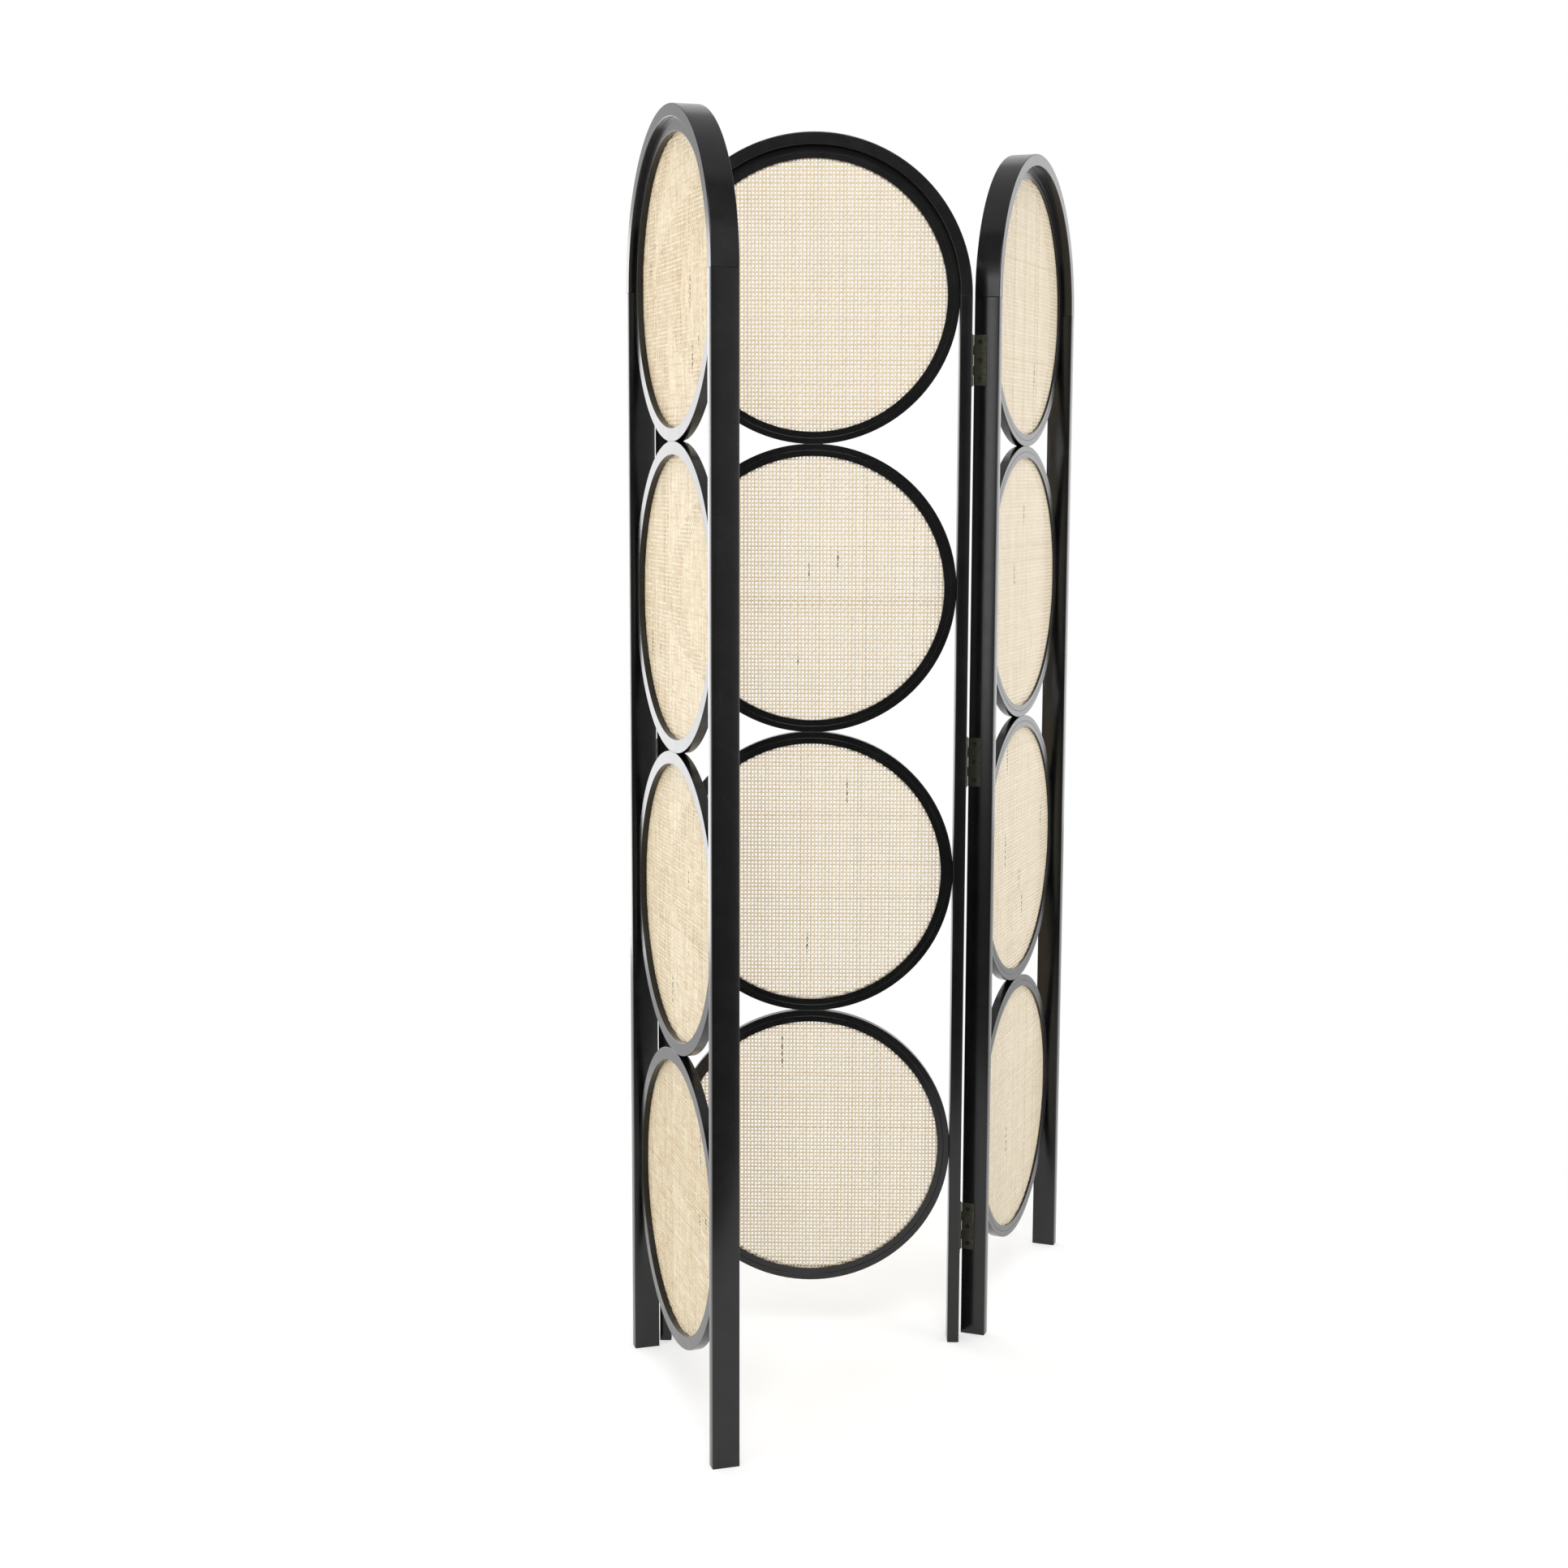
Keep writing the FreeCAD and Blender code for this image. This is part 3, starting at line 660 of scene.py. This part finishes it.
# Pins and dowels stay as the frame has them, and only get their material
for joint in hingeFrames:
    addHinges(joint)
    pins = frame["nodes"][joint + "_hinge_pins"]
    pins.data.materials.clear()
    pins.data.materials.append(leafBrass)
for panel in panels:
    dowels = frame["nodes"][panel + "_panel_dowels"]
    dowels.data.materials.clear()
    dowels.data.materials.append(beechMaterial)
print("hinges made")

# Floor, light and camera
studio = {
    "floorSize": 2.6,
    "floorColour": "#c6c6c5",
    "floorRoughness": 0.9,
    "floorLift": 0.46,  # own light of the floor, as seen directly or in a reflection
    "roomColour": "#303030",
    "wallDistance": 4.8,  # from the screen to the grey wall behind the camera
    "wallHeights": (-2.5, 5.0),
    "halfRoom": 5.0,
    "ceilingDepth": 3.2,  # how far the ceiling reaches behind the screen
    "wallGlow": ((-0.5, 0.13), (2.3, 0.55)),  # height and glow, from the wall's dark foot to its lit top
    "wallShade": ((0.5, 0.2), (2.0, 1.0)),  # distance from the middle and share of the glow
    "ceilingGlow": 0.2,
    "lampAim": (0, 0, 0.9),
}


def addSheet(name, corners):
    bm = bmesh.new()
    bm.faces.new([bm.verts.new(corner) for corner in corners])
    mesh = bpy.data.meshes.new(name)
    bm.to_mesh(mesh)
    bm.free()
    sheet = bpy.data.objects.new(name, mesh)
    bpy.context.scene.collection.objects.link(sheet)
    return sheet


# White floor that keeps the soft shadow of the screen
def addFloor():
    half = studio["floorSize"] / 2
    floor = addSheet("floor", [(-half, -half, 0), (half, -half, 0), (half, half, 0), (-half, half, 0)])
    material, tree, surface = newMaterial("whiteFloor")
    surface.inputs["Base Color"].default_value = hexColour(studio["floorColour"])
    surface.inputs["Roughness"].default_value = studio["floorRoughness"]
    surface.inputs["Emission Color"].default_value = white
    path = addNode(tree, "ShaderNodeLightPath", {}, {})
    seen = addNode(tree, "ShaderNodeMath", {"operation": "MAXIMUM"},
                   {0: path.outputs["Is Camera Ray"], 1: path.outputs["Is Glossy Ray"]})
    shown = addNode(tree, "ShaderNodeMath", {"operation": "MAXIMUM"},
                    {0: seen.outputs["Value"], 1: path.outputs["Is Transmission Ray"]})
    lift = addNode(tree, "ShaderNodeMath", {"operation": "MULTIPLY", 1: studio["floorLift"]},
                   {0: shown.outputs["Value"]})
    tree.links.new(lift.outputs["Value"], surface.inputs["Emission Strength"])
    floor.data.materials.append(material)


# Dim room in front of the screen, which its lacquer mirrors; the white world stands behind it
def addRoom():
    near, half = -studio["wallDistance"], studio["halfRoom"]
    low, high = studio["wallHeights"]
    far = studio["ceilingDepth"]
    wallCorners = [(-half, near, low), (-half, near, high), (half, near, high), (half, near, low)]
    wall = addSheet("roomWall", wallCorners)
    ceilingCorners = [(-half, near, high), (-half, far, high), (half, far, high), (half, near, high)]
    ceiling = addSheet("roomCeiling", ceilingCorners)
    material, tree, surface = newMaterial("greyWall")
    surface.inputs["Base Color"].default_value = hexColour(studio["roomColour"])
    surface.inputs["Emission Color"].default_value = white
    place = addNode(tree, "ShaderNodeTexCoord", {}, {})
    split = addNode(tree, "ShaderNodeSeparateXYZ", {}, {"Vector": place.outputs["Object"]})
    (footHeight, footGlow), (topHeight, topGlow) = studio["wallGlow"]
    glow = addNode(tree, "ShaderNodeMapRange",
                   {"From Min": footHeight, "From Max": topHeight, "To Min": footGlow, "To Max": topGlow},
                   {"Value": split.outputs["Z"]})
    (nearSide, nearShare), (farSide, farShare) = studio["wallShade"]
    aside = addNode(tree, "ShaderNodeMath", {"operation": "ABSOLUTE"}, {0: split.outputs["X"]})
    shade = addNode(tree, "ShaderNodeMapRange",
                    {"From Min": nearSide, "From Max": farSide, "To Min": nearShare, "To Max": farShare},
                    {"Value": aside.outputs["Value"]})
    strength = addNode(tree, "ShaderNodeMath", {"operation": "MULTIPLY"},
                       {0: glow.outputs["Result"], 1: shade.outputs["Result"]})
    tree.links.new(strength.outputs["Value"], surface.inputs["Emission Strength"])
    wall.data.materials.append(material)
    material, tree, surface = newMaterial("greyCeiling")
    surface.inputs["Base Color"].default_value = hexColour(studio["roomColour"])
    surface.inputs["Emission Color"].default_value = white
    surface.inputs["Emission Strength"].default_value = studio["ceilingGlow"]
    ceiling.data.materials.append(material)
    for sheet in (wall, ceiling):
        sheet.visible_camera = False


def addWorld():
    world = bpy.data.worlds.new("whiteStudio")
    world.use_nodes = True
    glow = world.node_tree.nodes["Background"]
    glow.inputs["Color"].default_value = white
    glow.inputs["Strength"].default_value = 1.0
    bpy.context.scene.world = world


# Soft boxes, with their power in watts
lamps = {
    "key": {"place": (0.1, -3.6, 4.0), "size": (1.8, 1.8), "power": 104},
    "leftFront": {"place": (-2.4, -2.9, 1.7), "size": (2.6, 2.6), "power": 43},
    "side": {"place": (3.0, -1.7, 1.05), "size": (1.4, 1.4), "power": 26},
    "top": {"place": (0, 0.3, 3.8), "size": (3.0, 3.0), "power": 10},
    "leftBack": {"place": (-1.6, 1.9, 1.0), "size": (1.4, 1.8), "power": 17},
    "rightBack": {"place": (1.5, 1.9, 1.3), "size": (1.8, 1.8), "power": 8},
}


def addLamps():
    for name, lamp in lamps.items():
        light = bpy.data.lights.new(name, "AREA")
        light.shape = "RECTANGLE"
        light.size, light.size_y = lamp["size"]
        light.energy = lamp["power"]
        item = bpy.data.objects.new(name, light)
        item.location = lamp["place"]
        item.visible_camera = False
        aim = Vector(studio["lampAim"]) - item.location
        item.rotation_euler = aim.to_track_quat("-Z", "Y").to_euler()
        bpy.context.scene.collection.objects.link(item)


# Camera as fitted to the photograph, with its angles in radians
view = {
    "place": (-0.0761, -3.3189, 1.3188),
    "yaw": -0.01303,
    "pitch": -0.13742,
    "roll": 0.0027,
    "lens": 51.87,
    "sensor": 36.0,
}


def addCamera():
    data = bpy.data.cameras.new("photoCamera")
    data.lens = view["lens"]
    data.sensor_width = view["sensor"]
    camera = bpy.data.objects.new("photoCamera", data)
    yaw = Matrix.Rotation(-view["yaw"], 4, "Z")
    pitch = Matrix.Rotation(math.pi / 2 + view["pitch"], 4, "X")
    roll = Matrix.Rotation(view["roll"], 4, "Z")
    camera.matrix_world = Matrix.Translation(view["place"]) @ (yaw @ pitch) @ roll
    bpy.context.scene.collection.objects.link(camera)
    bpy.context.scene.camera = camera


addFloor()
addRoom()
addWorld()
addLamps()
addCamera()
bpy.context.scene.view_settings.view_transform = "Standard"
print("studio set")
